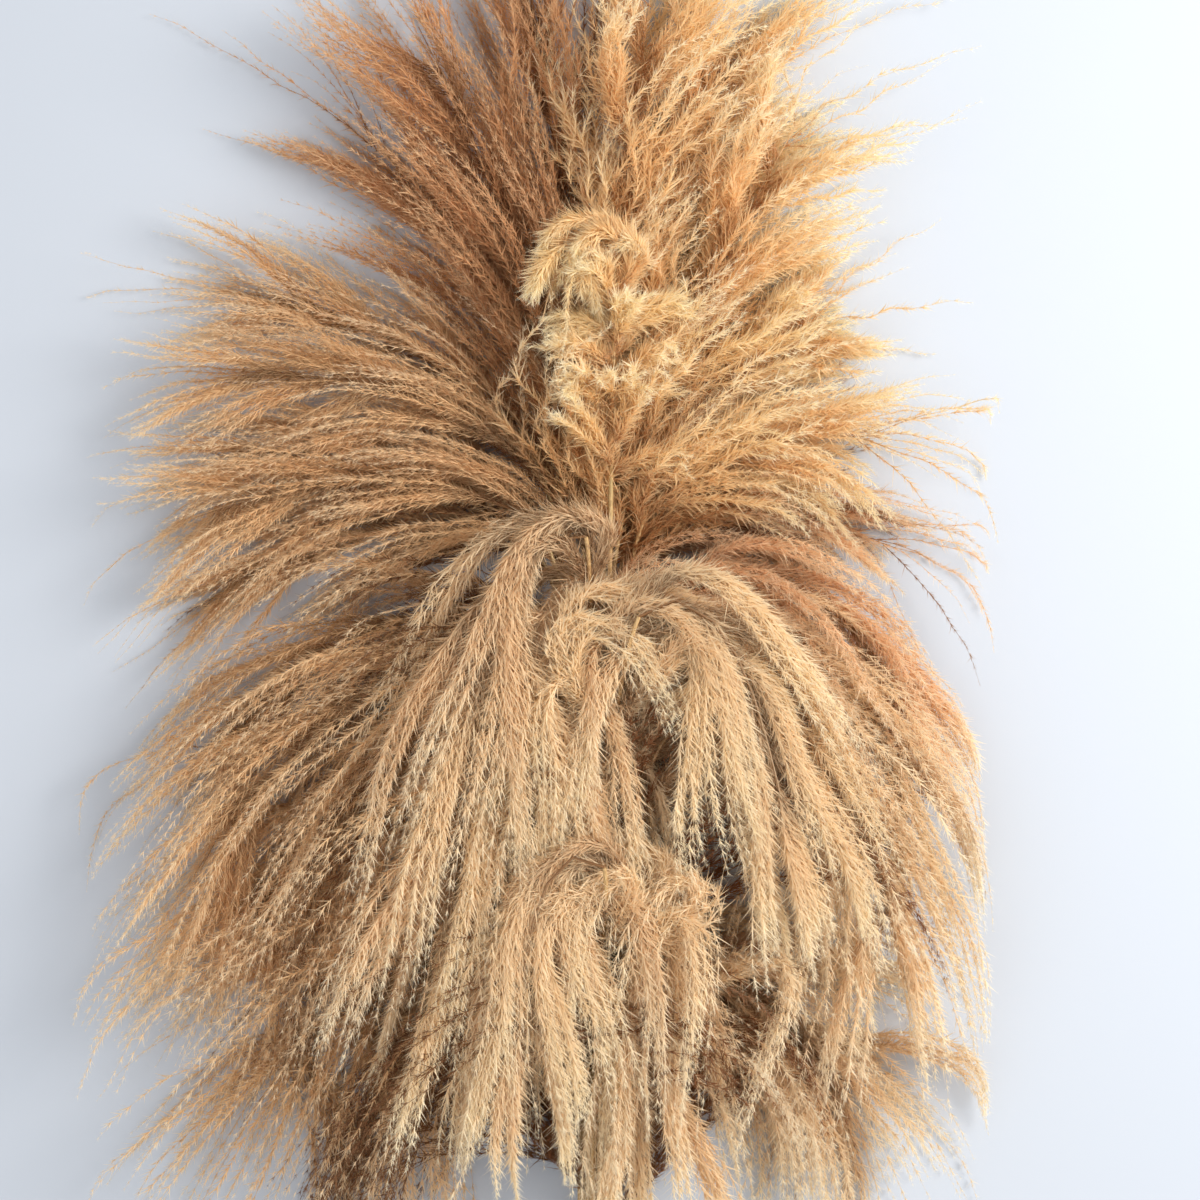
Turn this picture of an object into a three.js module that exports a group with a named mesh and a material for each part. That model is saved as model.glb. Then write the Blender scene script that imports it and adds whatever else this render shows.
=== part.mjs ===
// A bundle of dried pampas grass, lying on its back. Millimetres, +Z up.
// The stems run along +Y from their cut ends, tied in a round sheaf near the bottom. Higher up
// each stalk leaves the sheaf in turn: the tall ones fan out flat, the front ones bend over and
// fall back towards the cut ends.
import * as THREE from "three";
import { mergeVertices } from "three/addons/utils/BufferGeometryUtils.js";

// ---- Driving sizes -------------------------------------------------------------------------

const stemRadiusAtCut = 3.4;
const stemRadiusAtPlume = 2.1;
const stemGap = 1.2; // free space between two stems in the sheaf
const cutStagger = 9; // how far one cut end stands back from the next
const cutLengths = 4; // the stems are cut to this many lengths in turn
const plumeLengthScale = 1; // lengthens or shortens every plume
const plumeWidthScale = 1;
const plumeTipRadius = 1.6;
const endGap = 0.35; // between a stem's top and the plume it carries

const twineRadius = 1.5;
const twineTurns = 4;
const twineHeight = 150; // the tie's middle, measured from the cut ends
const twineClearance = 0.4;
const twineRidgeSteps = 4; // points along the outline of one turn

const sheafRows = [3, 4, 5, 6, 5, 4, 3]; // stems in each layer of the sheaf, lowest first

const backLayer = 21; // height of the plumes that rest on the floor
const midLayer = 64; // height of the plumes that lie on those
const fanMiddle = 700; // the plumes' bases spread from here, measured from the cut ends
const fanOpening = 2; // the bases move apart this many times as fast as the plumes widen

const strawColour = 0xb9935c;
const twineColour = 0xa98a5e;

// ---- The stalks ----------------------------------------------------------------------------
// seat:   [layer, place from the left] in the sheaf
// leaves: how far up the stem leaves the sheaf
// base:   [x, y, z] where the plume begins
// lean:   [at the base, at the tip], degrees from +Y, to the right positive
// turn:   how fast the lean changes, the length in which two thirds of the turn is done
// size:   [length, width, thickness] of the plume
// tipZ:   height of the plume's tip

const stalks = [
  { name: "upper_left_1", seat: [2, 2], leaves: 760, base: [-50, 1096, backLayer],
    lean: [-18, -72], turn: 420, size: [480, 92, 38], tipZ: backLayer, colour: 0x9b7750 },
  { name: "upper_left_2", seat: [3, 2], leaves: 800, base: [-38, 1075, midLayer],
    lean: [-9, -38], turn: 420, size: [560, 108, 40], tipZ: midLayer, colour: 0x8d6a45 },
  { name: "upper_left_3", seat: [0, 0], leaves: 840, base: [-22, 1104, backLayer],
    lean: [-3, -13], turn: 420, size: [580, 84, 40], tipZ: backLayer, colour: 0x8a6743 },

  { name: "upper_right_1", seat: [1, 2], leaves: 840, base: [10, 1090, midLayer],
    lean: [3, 10], turn: 420, size: [585, 84, 40], tipZ: midLayer, colour: 0xd3a574 },
  { name: "upper_right_2", seat: [0, 2], leaves: 800, base: [26, 1085, backLayer],
    lean: [11, 26], turn: 420, size: [560, 104, 40], tipZ: backLayer, colour: 0xd6a877 },
  { name: "upper_right_3", seat: [3, 3], leaves: 760, base: [40, 1050, midLayer],
    lean: [20, 37], turn: 420, size: [490, 104, 40], tipZ: midLayer, colour: 0xdcb381 },
  { name: "upper_right_4", seat: [2, 3], leaves: 740, base: [46, 1020, backLayer],
    lean: [34, 76], turn: 300, size: [325, 100, 40], tipZ: backLayer, colour: 0xd9ad7b },
  { name: "upper_front", seat: [4, 3], leaves: 620, base: [18, 1250, 128],
    lean: [4, -172], turn: 36, size: [180, 50, 32], tipZ: 118, colour: 0xdfba88 },

  { name: "left_fan_1", seat: [1, 1], leaves: 740, base: [-64, 1046, backLayer],
    lean: [-36, -89], turn: 250, size: [450, 72, 38], tipZ: backLayer, colour: 0xa9835a },
  { name: "left_fan_2", seat: [4, 1], leaves: 720, base: [-66, 1030, midLayer],
    lean: [-42, -110], turn: 250, size: [460, 88, 38], tipZ: midLayer, colour: 0xa67f56 },
  { name: "left_fan_3", seat: [2, 1], leaves: 700, base: [-74, 998, backLayer],
    lean: [-54, -118], turn: 250, size: [450, 82, 38], tipZ: backLayer, colour: 0xa47c53 },
  { name: "left_fan_4", seat: [3, 1], leaves: 680, base: [-76, 985, midLayer],
    lean: [-60, -126], turn: 250, size: [450, 86, 38], tipZ: midLayer, colour: 0xa67f56 },
  { name: "left_fan_5", seat: [1, 0], leaves: 660, base: [-80, 960, backLayer],
    lean: [-72, -132], turn: 250, size: [430, 76, 38], tipZ: backLayer, colour: 0x9c754e },

  { name: "lower_left_1", seat: [3, 0], leaves: 600, base: [-84, 870, midLayer],
    lean: [-66, -150], turn: 200, size: [480, 88, 40], tipZ: 30, colour: 0xa98760 },
  { name: "lower_left_2", seat: [4, 0], leaves: 540, base: [-84, 800, 104],
    lean: [-60, -154], turn: 170, size: [510, 94, 40], tipZ: 72, colour: 0xae8c63 },
  { name: "lower_left_3", seat: [5, 0], leaves: 470, base: [-84, 720, 68],
    lean: [-52, -158], turn: 140, size: [510, 92, 40], tipZ: 30, colour: 0xb08d64 },
  { name: "lower_left_4", seat: [2, 0], leaves: 300, base: [-70, 520, backLayer],
    lean: [-56, -154], turn: 150, size: [470, 88, 40], tipZ: backLayer, colour: 0xb4926a },

  { name: "right_1", seat: [3, 4], leaves: 720, base: [58, 1004, midLayer],
    lean: [48, 122], turn: 240, size: [320, 88, 40], tipZ: midLayer, colour: 0xdcb07c },
  { name: "right_2", seat: [1, 3], leaves: 680, base: [62, 950, backLayer],
    lean: [46, 150], turn: 210, size: [320, 84, 40], tipZ: backLayer, colour: 0xa5734c },
  { name: "right_3", seat: [3, 5], leaves: 620, base: [66, 900, midLayer],
    lean: [44, 168], turn: 160, size: [460, 92, 40], tipZ: 52, colour: 0xc69a6d },
  { name: "right_4", seat: [4, 4], leaves: 560, base: [68, 850, 104],
    lean: [44, 166], turn: 132, size: [520, 98, 42], tipZ: 76, colour: 0xd6b088 },
  { name: "right_5", seat: [5, 3], leaves: 480, base: [70, 770, 140],
    lean: [40, 172], turn: 120, size: [560, 100, 42], tipZ: 92, colour: 0xd9b58a },
  { name: "right_6", seat: [2, 4], leaves: 300, base: [48, 500, backLayer],
    lean: [50, 166], turn: 125, size: [400, 92, 40], tipZ: backLayer, colour: 0xcda478 },

  { name: "centre_1", seat: [5, 1], leaves: 520, base: [-14, 962, 176],
    lean: [-30, -171], turn: 42, size: [640, 92, 38], tipZ: 140, colour: 0xcfac7f },
  { name: "centre_2", seat: [4, 2], leaves: 560, base: [0, 905, 134],
    lean: [-20, -175], turn: 34, size: [500, 70, 36], tipZ: 116, colour: 0xccaa7e },
  { name: "centre_3", seat: [5, 2], leaves: 500, base: [22, 862, 152],
    lean: [-16, -178], turn: 24, size: [270, 52, 30], tipZ: 150, colour: 0xd1ae82 },
  { name: "centre_4", seat: [6, 1], leaves: 500, base: [38, 884, 192],
    lean: [24, 168], turn: 56, size: [440, 78, 36], tipZ: 172, colour: 0xd3b084 },
  { name: "centre_5", seat: [6, 0], leaves: 330, base: [4, 640, 200],
    lean: [-16, -173], turn: 36, size: [380, 88, 36], tipZ: 170, colour: 0xd3b084 },
  { name: "centre_6", seat: [6, 2], leaves: 340, base: [22, 626, 150],
    lean: [10, 185], turn: 22, size: [400, 64, 32], tipZ: 120, colour: 0xcda87b },
];

// ---- Curves --------------------------------------------------------------------------------

const neck = { start: 0.4, end: 0.35, aside: 0.6 }; // how far a stem's bend reaches at its two ends
const fullness = { peak: 0.8, slim: 1.1 }; // below 1 the peak moves up the plume; above 1 both ends thin
const plumeSteps = 12;
const neckSteps = 7;
const axisStride = 2; // the plume's axis is traced in steps this long
const baseCrowding = 1.5; // steps along a plume are shorter towards its base, where it bends most
const sides = { plume: 8, stem: 6, twine: 24 };

const stemPitch = 2 * stemRadiusAtCut + stemGap;
const layerPitch = stemPitch * Math.sin(Math.PI / 3);
const sheafHalfHeight = ((sheafRows.length - 1) / 2) * layerPitch;
const sheafReach = farthestSeat() + stemRadiusAtCut + twineClearance;
const sheafMiddle = sheafReach + 2 * twineRadius; // the tie rests on the floor

// How far the outermost stem's axis is from the sheaf's middle.
function farthestSeat() {
  const corners = sheafRows.map((count, layer) => {
    const high = layer * layerPitch - sheafHalfHeight;
    return Math.hypot(((count - 1) / 2) * stemPitch, high);
  });
  return Math.max(...corners);
}

// Where a stem stands in the sheaf, seen along its length.
function seatOf([layer, place]) {
  const x = (place - (sheafRows[layer] - 1) / 2) * stemPitch;
  return new THREE.Vector2(x, sheafMiddle - sheafHalfHeight + layer * layerPitch);
}

// Wider plumes begin farther apart.
function plumeBase([x, y, z]) {
  const spread = 1 + fanOpening * (plumeWidthScale - 1);
  return new THREE.Vector3(x * spread, fanMiddle + (y - fanMiddle) * spread, z);
}

function heading(degrees) {
  const angle = THREE.MathUtils.degToRad(degrees);
  return new THREE.Vector3(Math.sin(angle), Math.cos(angle), 0);
}

function plumeShare(step) {
  return Math.pow(step / plumeSteps, baseCrowding);
}

// The plume's axis: it starts at its base, turns from its first lean towards its last, and sinks
// or rises evenly to its tip.
function plumeAxis({ base, lean, turn, size, tipZ }) {
  const length = size[0] * plumeLengthScale;
  const at = plumeBase(base);
  const points = [at.clone()];
  for (let along = 0; points.length <= plumeSteps; along += axisStride) {
    const leanHere = lean[1] + (lean[0] - lean[1]) * Math.exp(-along / turn);
    at.addScaledVector(heading(leanHere), axisStride);
    const share = (along + axisStride) / length;
    at.z = THREE.MathUtils.lerp(base[2], tipZ, Math.min(share, 1));
    if (share >= plumeShare(points.length)) points.push(at.clone());
  }
  return points;
}

// The stem's axis: straight in the sheaf, then one smooth bend up to the plume's base.
function stemAxis(stalk, index) {
  const seat = seatOf(stalk.seat);
  const cut = new THREE.Vector3(seat.x, cutStagger * (index % cutLengths), seat.y);
  const exit = new THREE.Vector3(seat.x, stalk.leaves, seat.y);
  const up = heading(stalk.lean[0]);
  const top = plumeBase(stalk.base).addScaledVector(up, -endGap);
  const rise = exit.distanceTo(top);
  const aside = Math.abs(top.x - exit.x) / Math.abs(up.x);
  const bend = new THREE.CubicBezierCurve3(
    exit,
    exit.clone().add(new THREE.Vector3(0, rise * neck.start, 0)),
    top.clone().addScaledVector(up, -Math.min(rise * neck.end, aside * neck.aside)),
    top,
  );
  return [cut, ...bend.getPoints(neckSteps)];
}

// ---- Solids --------------------------------------------------------------------------------

// Bends a closed unit cylinder along a row of points. Its two end discs are square to first and,
// where it is given, last. halfSizes gives the half width and half thickness at each point.
function sweep(points, halfSizes, sideCount, first, last) {
  const steps = points.length - 1;
  const unit = new THREE.CylinderGeometry(1, 1, 1, sideCount, steps);
  unit.deleteAttribute("normal");
  unit.deleteAttribute("uv");
  const solid = mergeVertices(unit);
  const place = solid.getAttribute("position");
  for (let i = 0; i < place.count; i++) {
    const step = Math.round((place.getY(i) + 0.5) * steps);
    const along = new THREE.Vector3();
    if (step === 0) along.copy(first);
    else if (step === steps && last) along.copy(last);
    else along.subVectors(points[Math.min(step + 1, steps)], points[step - 1]).normalize();
    const side = along.clone().cross(new THREE.Vector3(0, 0, 1)).normalize();
    const out = side.clone().cross(along);
    const at = points[step].clone();
    at.addScaledVector(side, place.getX(i) * halfSizes[step][0]);
    at.addScaledVector(out, place.getZ(i) * halfSizes[step][1]);
    place.setXYZ(i, at.x, at.y, at.z);
  }
  return solid;
}

// A plume swells slowly from its stem, is fullest before the middle and thins out to its tip.
function plumeFullness(share) {
  const wave = Math.sin(Math.PI * Math.pow(share, fullness.peak));
  return Math.pow(Math.max(wave, 0), fullness.slim);
}

function plumeSolid(stalk) {
  const full = [(stalk.size[1] * plumeWidthScale) / 2, stalk.size[2] / 2];
  const halfSizes = [];
  for (let step = 0; step <= plumeSteps; step++) {
    const share = plumeShare(step);
    const least = THREE.MathUtils.lerp(stemRadiusAtPlume, plumeTipRadius, share);
    halfSizes.push(full.map((half) => THREE.MathUtils.lerp(least, half, plumeFullness(share))));
  }
  return sweep(plumeAxis(stalk), halfSizes, sides.plume, heading(stalk.lean[0]), null);
}

function stemSolid(stalk, index) {
  const points = stemAxis(stalk, index);
  const halfSizes = points.map((point, step) => {
    const share = step / (points.length - 1);
    const radius = THREE.MathUtils.lerp(stemRadiusAtCut, stemRadiusAtPlume, share);
    return [radius, radius];
  });
  return sweep(points, halfSizes, sides.stem, heading(0), heading(stalk.lean[0]));
}

// The twine's turns lie side by side round the sheaf, as one ring with a ridge for each turn.
// It stands clear of the sheaf's outermost stems.
function tieSolid() {
  const profile = [];
  for (let i = 0; i <= twineTurns * twineRidgeSteps; i++) {
    const ridge = Math.abs(Math.sin((Math.PI * i) / twineRidgeSteps));
    const along = (i / twineRidgeSteps - twineTurns / 2) * 2 * twineRadius;
    profile.push(new THREE.Vector2(sheafReach + twineRadius * (1 + ridge), along));
  }
  const half = twineTurns * twineRadius;
  profile.push(new THREE.Vector2(sheafReach, half), new THREE.Vector2(sheafReach, -half));
  profile.push(profile[0].clone());
  const ring = new THREE.LatheGeometry(profile, sides.twine);
  ring.deleteAttribute("normal");
  ring.deleteAttribute("uv");
  return mergeVertices(ring);
}

// ---- The bundle ----------------------------------------------------------------------------

function named(name, geometry, colour, roughness) {
  const material = new THREE.MeshStandardMaterial({ color: colour, roughness, metalness: 0 });
  const mesh = new THREE.Mesh(geometry, material);
  mesh.name = name;
  return mesh;
}

const bundle = new THREE.Group();
stalks.forEach((stalk, index) => {
  bundle.add(named("stem_" + stalk.name, stemSolid(stalk, index), strawColour, 0.6));
  bundle.add(named("plume_" + stalk.name, plumeSolid(stalk), stalk.colour, 0.9));
});

const tie = named("twine_tie", tieSolid(), twineColour, 0.95);
tie.position.set(0, twineHeight, sheafMiddle);
bundle.add(tie);

// The frame's origin is under the middle of the bundle, on the floor.
const extent = new THREE.Box3().setFromObject(bundle);
const middle = extent.getCenter(new THREE.Vector3());
bundle.position.set(-middle.x, -middle.y, -extent.min.z);

export default bundle;
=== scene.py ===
import math
import bpy
import numpy as np
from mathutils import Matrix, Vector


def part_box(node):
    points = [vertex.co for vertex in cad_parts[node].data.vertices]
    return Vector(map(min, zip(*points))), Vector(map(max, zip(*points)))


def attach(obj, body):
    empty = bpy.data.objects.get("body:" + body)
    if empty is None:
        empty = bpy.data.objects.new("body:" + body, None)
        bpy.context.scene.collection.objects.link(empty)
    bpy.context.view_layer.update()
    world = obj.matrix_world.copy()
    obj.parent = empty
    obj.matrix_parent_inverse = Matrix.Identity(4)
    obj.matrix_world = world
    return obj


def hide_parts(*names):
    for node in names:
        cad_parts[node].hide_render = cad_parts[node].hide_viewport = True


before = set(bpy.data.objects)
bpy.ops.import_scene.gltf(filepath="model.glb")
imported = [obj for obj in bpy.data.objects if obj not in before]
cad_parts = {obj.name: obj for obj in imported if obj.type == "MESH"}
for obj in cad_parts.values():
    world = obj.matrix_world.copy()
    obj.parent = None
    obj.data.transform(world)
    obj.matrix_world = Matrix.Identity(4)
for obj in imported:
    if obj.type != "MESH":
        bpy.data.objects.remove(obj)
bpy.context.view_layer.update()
tieLow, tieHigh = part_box("twine_tie")
tieHeight = 0.150  # the tie's middle, from the cut ends
cutEnds = np.array([(tieLow.x + tieHigh.x) / 2, (tieLow.y + tieHigh.y) / 2 - tieHeight, 0.0])
print("frame loaded,", len(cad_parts), "nodes")


# camera, light and floor

view = {"centre": 0.900, "side": 1.20, "height": 3.60, "plane": 0.10}


def addCamera():
    data = bpy.data.cameras.new("camera")
    data.sensor_width = 36
    data.lens = data.sensor_width * (view["height"] - view["plane"]) / view["side"]
    data.clip_end = 20
    camera = bpy.data.objects.new("camera", data)
    camera.location = (cutEnds[0], cutEnds[1] + view["centre"], view["height"])
    bpy.context.scene.collection.objects.link(camera)
    bpy.context.scene.camera = camera


def addAreaLight(name, place, aim, size, power, colour):
    data = bpy.data.lights.new(name, "AREA")
    data.shape = "DISK"
    data.size = size
    data.energy = power
    data.color = colour
    light = bpy.data.objects.new(name, data)
    light.location = place
    away = np.array(place) - np.array(aim)
    flat = math.hypot(away[0], away[1])
    light.rotation_euler = (math.atan2(flat, away[2]), 0, math.atan2(away[0], -away[1]))
    bpy.context.scene.collection.objects.link(light)


lamps = {  # place from the middle of the view, size, power, colour
    "window": ((2.4, 0.7, 2.1), 1.9, 118, (1.0, 0.985, 0.96)),
    "fill": ((-1.6, -0.6, 3.2), 3.0, 22, (0.94, 0.97, 1.0)),
}
room = {"colour": (0.95, 0.975, 1.0, 1), "strength": 0.76}


def addLights():
    middle = (0, cutEnds[1] + view["centre"], 0)
    for name, (place, size, power, colour) in lamps.items():
        addAreaLight(name, (place[0], middle[1] + place[1], place[2]), middle, size, power, colour)
    world = bpy.data.worlds.new("room")
    world.use_nodes = True
    sky = world.node_tree.nodes["Background"]
    sky.inputs["Color"].default_value = room["colour"]
    sky.inputs["Strength"].default_value = room["strength"]
    bpy.context.scene.world = world
    bpy.context.scene.view_settings.view_transform = "Standard"


floorLook = {"reach": 9, "colour": (0.505, 0.535, 0.585, 1), "roughness": 0.9}


def addFloor():
    mesh = bpy.data.meshes.new("floor")
    reach = floorLook["reach"]
    corners = [(-reach, -reach, 0), (reach, -reach, 0), (reach, reach, 0), (-reach, reach, 0)]
    mesh.from_pydata(corners, [], [(0, 1, 2, 3)])
    floor = bpy.data.objects.new("floor", mesh)
    bpy.context.scene.collection.objects.link(floor)
    paint = bpy.data.materials.new("paleFloor")
    paint.use_nodes = True
    shader = paint.node_tree.nodes["Principled BSDF"]
    shader.inputs["Base Color"].default_value = floorLook["colour"]
    shader.inputs["Roughness"].default_value = floorLook["roughness"]
    mesh.materials.append(paint)


addCamera()
addLights()
addFloor()
print("camera, light and floor done")


# node trees: small helpers

def addNode(tree, kind, values=None, **settings):
    node = tree.nodes.new(kind)
    for name, value in settings.items():
        setattr(node, name, value)
    for name, value in (values or {}).items():
        if isinstance(value, bpy.types.NodeSocket):
            tree.links.new(value, node.inputs[name])
        else:
            node.inputs[name].default_value = value
    return node


def newGroup(name, kind, inputs, outputs):
    tree = bpy.data.node_groups.new(name, kind)
    for label, socketType, start in inputs:
        socket = tree.interface.new_socket(label, in_out="INPUT", socket_type=socketType)
        if start is not None:
            socket.default_value = start
    for label, socketType in outputs:
        tree.interface.new_socket(label, in_out="OUTPUT", socket_type=socketType)
    return tree, tree.nodes.new("NodeGroupInput").outputs, tree.nodes.new("NodeGroupOutput").inputs


def setInput(modifier, label, value):
    for item in modifier.node_group.interface.items_tree:
        if item.name == label and item.in_out == "INPUT":
            modifier[item.identifier] = value


def mathNode(tree, operation, first, second=0.0, third=0.0):
    return addNode(tree, "ShaderNodeMath", {0: first, 1: second, 2: third}, operation=operation).outputs[0]


def attribute(tree, name, dataType="FLOAT"):
    return addNode(tree, "GeometryNodeInputNamedAttribute", {"Name": name}, data_type=dataType).outputs[0]


# materials

def straight(red, green, blue):  # a screen colour, 0 to 255, as the light it stands for
    parts = [c / 255 for c in (red, green, blue)]
    return tuple(c / 12.92 if c < 0.04045 else ((c + 0.055) / 1.055) ** 2.4 for c in parts) + (1,)


def mixColours(tree, factor, first, second):
    return addNode(tree, "ShaderNodeMix", {0: factor, 6: first, 7: second}, data_type="RGBA").outputs[2]


def smoothStep(tree, value, low, high):
    return addNode(tree, "ShaderNodeMapRange", {0: value, 1: low, 2: high},
                   interpolation_type="SMOOTHSTEP").outputs[0]


grassSteps = {"root": (0.0, 0.34), "tip": (0.40, 0.95), "hollowShade": (0.03, 0.26)}


def dryGrassGroup():  # tone picks between two straws; along runs from a strand's root to its hair tips
    inputs = [("Tone", "NodeSocketFloat", 0.5), ("Along", "NodeSocketFloat", 0.5),
              ("Hollow Shade", "NodeSocketColor", None), ("Dark", "NodeSocketColor", None),
              ("Light", "NodeSocketColor", None), ("Root Shade", "NodeSocketColor", None),
              ("Tip", "NodeSocketColor", None)]
    tree, given, made = newGroup("dryGrass", "ShaderNodeTree", inputs, [("Color", "NodeSocketColor")])
    body = mixColours(tree, given["Tone"], given["Dark"], given["Light"])
    # the lower part of each strand takes the root colour: painted shade where the strands leave the plume's
    # stem
    rootShaded = mixColours(tree, smoothStep(tree, given["Along"], *grassSteps["root"]), given["Root Shade"], body)
    tipped = mixColours(tree, smoothStep(tree, given["Along"], *grassSteps["tip"]), rootShaded, given["Tip"])
    # strands of low tone take the hollow colour: painted shade for the dark hollows between locks and among
    # the stems
    hollowShaded = mixColours(tree, smoothStep(tree, given["Tone"], *grassSteps["hollowShade"]), given["Hollow Shade"], tipped)
    tree.links.new(hollowShaded, made["Color"])
    return tree


dryGrass = dryGrassGroup()

plumeTones = {  # painted shade for strands in the hollows between locks, dark straw, light straw, painted shade at the roots, tip
    "plume_brown": [(104, 66, 40), (196, 144, 98), (236, 190, 142), (128, 84, 54), (244, 212, 170)],
    "plume_tan": [(124, 84, 54), (220, 176, 126), (250, 222, 178), (150, 104, 66), (255, 238, 206)],
    "plume_gold": [(172, 118, 72), (242, 200, 144), (255, 236, 192), (202, 146, 92), (255, 248, 220)],
    "plume_russet": [(136, 88, 56), (236, 190, 142), (255, 230, 194), (172, 120, 78), (255, 242, 214)],
    "plume_cream": [(140, 92, 58), (230, 193, 148), (255, 237, 202), (160, 116, 76), (255, 246, 220)],
}
plumeFinish = {"roughness": 0.72, "specular": 0.22, "through": 0.46}


def plumeMaterial(slot):
    material = bpy.data.materials.new(slot + "Hair")
    material.use_nodes = True
    tree = material.node_tree
    shader = tree.nodes["Principled BSDF"]
    shader.inputs["Roughness"].default_value = plumeFinish["roughness"]
    shader.inputs["Specular IOR Level"].default_value = plumeFinish["specular"]
    mapped = addNode(tree, "ShaderNodeUVMap", uv_map="OFBake")
    place = addNode(tree, "ShaderNodeSeparateXYZ", {0: mapped.outputs[0]})
    colours = addNode(tree, "ShaderNodeGroup", node_tree=dryGrass)
    for label, tone in zip(("Hollow Shade", "Dark", "Light", "Root Shade", "Tip"), plumeTones[slot]):
        colours.inputs[label].default_value = straight(*tone)
    tree.links.new(place.outputs["X"], colours.inputs["Tone"])
    tree.links.new(place.outputs["Y"], colours.inputs["Along"])
    tree.links.new(colours.outputs["Color"], shader.inputs["Base Color"])
    through = addNode(tree, "ShaderNodeBsdfTranslucent", {"Color": colours.outputs["Color"]})
    both = addNode(tree, "ShaderNodeMixShader",
                   {0: plumeFinish["through"], 1: shader.outputs[0], 2: through.outputs[0]})
    tree.links.new(both.outputs[0], tree.nodes["Material Output"].inputs["Surface"])
    return material


plumeMaterials = {slot: plumeMaterial(slot) for slot in plumeTones}
print("materials done")


# the stalks: where each stem leaves the sheaf and how its plume bends, in millimetres

backLayer = 21
midLayer = 64
sheafRows = [3, 4, 5, 6, 5, 4, 3]
stemSizes = {"cut": 3.4, "plume": 2.1, "gap": 1.2, "stagger": 9, "lengths": 4, "endGap": 0.35}
twineSizes = {"radius": 1.5, "clearance": 0.4}
neck = {"start": 0.4, "end": 0.35, "aside": 0.6}
stemPitch = 2 * stemSizes["cut"] + stemSizes["gap"]
layerPitch = stemPitch * math.sin(math.pi / 3)
halfHeight = (len(sheafRows) - 1) / 2 * layerPitch
farthest = max(math.hypot((n - 1) / 2 * stemPitch, i * layerPitch - halfHeight)
               for i, n in enumerate(sheafRows))
sheafReach = farthest + stemSizes["cut"] + twineSizes["clearance"]
sheafMiddle = sheafReach + 2 * twineSizes["radius"]

# seat in the sheaf, height where it leaves, the plume's base, lean at base and tip,
# turn, length, height of the tip, slot, shade; shade is the plume's straw tone, partly its own
# and partly painted shade, set lower for plumes that lie in shadow
stalks = {
    "upper_left_1": ([2, 2], 760, (-50, 1096, backLayer), (-18, -72), 420, 480, backLayer, "plume_brown",
                     0.62),
    "upper_left_2": ([3, 2], 800, (-38, 1075, midLayer), (-9, -38), 420, 560, midLayer, "plume_brown", 0.45),
    "upper_left_3": ([0, 0], 840, (-22, 1104, backLayer), (-3, -13), 420, 580, backLayer, "plume_brown",
                     0.38),
    "upper_right_1": ([1, 2], 840, (10, 1090, midLayer), (3, 10), 420, 585, midLayer, "plume_gold", 0.45),
    "upper_right_2": ([0, 2], 800, (26, 1085, backLayer), (11, 26), 420, 560, backLayer, "plume_gold", 0.5),
    "upper_right_3": ([3, 3], 760, (40, 1050, midLayer), (20, 37), 420, 490, midLayer, "plume_gold", 0.65),
    "upper_right_4": ([2, 3], 740, (46, 1020, backLayer), (34, 76), 300, 325, backLayer, "plume_gold", 0.55),
    "upper_front": ([4, 3], 620, (18, 1250, 128), (4, -172), 36, 180, 118, "plume_gold", 0.8),
    "left_fan_1": ([1, 1], 740, (-64, 1046, backLayer), (-36, -89), 250, 450, backLayer, "plume_tan", 0.5),
    "left_fan_2": ([4, 1], 720, (-66, 1030, midLayer), (-42, -110), 250, 460, midLayer, "plume_tan", 0.5),
    "left_fan_3": ([2, 1], 700, (-74, 998, backLayer), (-54, -118), 250, 450, backLayer, "plume_tan", 0.45),
    "left_fan_4": ([3, 1], 680, (-76, 985, midLayer), (-60, -126), 250, 450, midLayer, "plume_tan", 0.5),
    "left_fan_5": ([1, 0], 660, (-80, 960, backLayer), (-72, -132), 250, 430, backLayer, "plume_tan", 0.35),
    "lower_left_1": ([3, 0], 600, (-84, 870, midLayer), (-66, -150), 200, 480, 30, "plume_tan", 0.45),
    "lower_left_2": ([4, 0], 540, (-84, 800, 104), (-60, -154), 170, 510, 72, "plume_tan", 0.55),
    "lower_left_3": ([5, 0], 470, (-84, 720, 68), (-52, -158), 140, 510, 30, "plume_tan", 0.55),
    "lower_left_4": ([2, 0], 300, (-70, 520, backLayer), (-56, -154), 150, 470, backLayer, "plume_tan", 0.36),
    "right_1": ([3, 4], 720, (58, 1004, midLayer), (48, 122), 240, 320, midLayer, "plume_gold", 0.55),
    "right_2": ([1, 3], 680, (62, 950, backLayer), (46, 150), 210, 320, backLayer, "plume_russet", 0.35),
    "right_3": ([3, 5], 620, (66, 900, midLayer), (44, 168), 160, 460, 52, "plume_russet", 0.6),
    "right_4": ([4, 4], 560, (68, 850, 104), (44, 166), 132, 520, 76, "plume_cream", 0.55),
    "right_5": ([5, 3], 480, (70, 770, 140), (40, 172), 120, 560, 92, "plume_cream", 0.6),
    "right_6": ([2, 4], 300, (48, 500, backLayer), (50, 166), 125, 400, backLayer, "plume_cream", 0.44),
    "centre_1": ([5, 1], 520, (-14, 962, 176), (-30, -171), 42, 640, 140, "plume_cream", 0.6),
    "centre_2": ([4, 2], 560, (0, 905, 134), (-20, -175), 34, 500, 116, "plume_cream", 0.5),
    "centre_3": ([5, 2], 500, (22, 862, 152), (-16, -178), 24, 270, 150, "plume_cream", 0.7),
    "centre_4": ([6, 1], 500, (38, 884, 192), (24, 168), 56, 440, 172, "plume_cream", 0.75),
    "centre_5": ([6, 0], 330, (4, 640, 200), (-16, -173), 36, 380, 170, "plume_cream", 0.65),
    "centre_6": ([6, 2], 340, (22, 626, 150), (10, 185), 22, 400, 120, "plume_cream", 0.55),
}


def heading(degrees):
    angle = np.radians(degrees)
    return np.stack([np.sin(angle), np.cos(angle), 0 * angle], -1)


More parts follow.
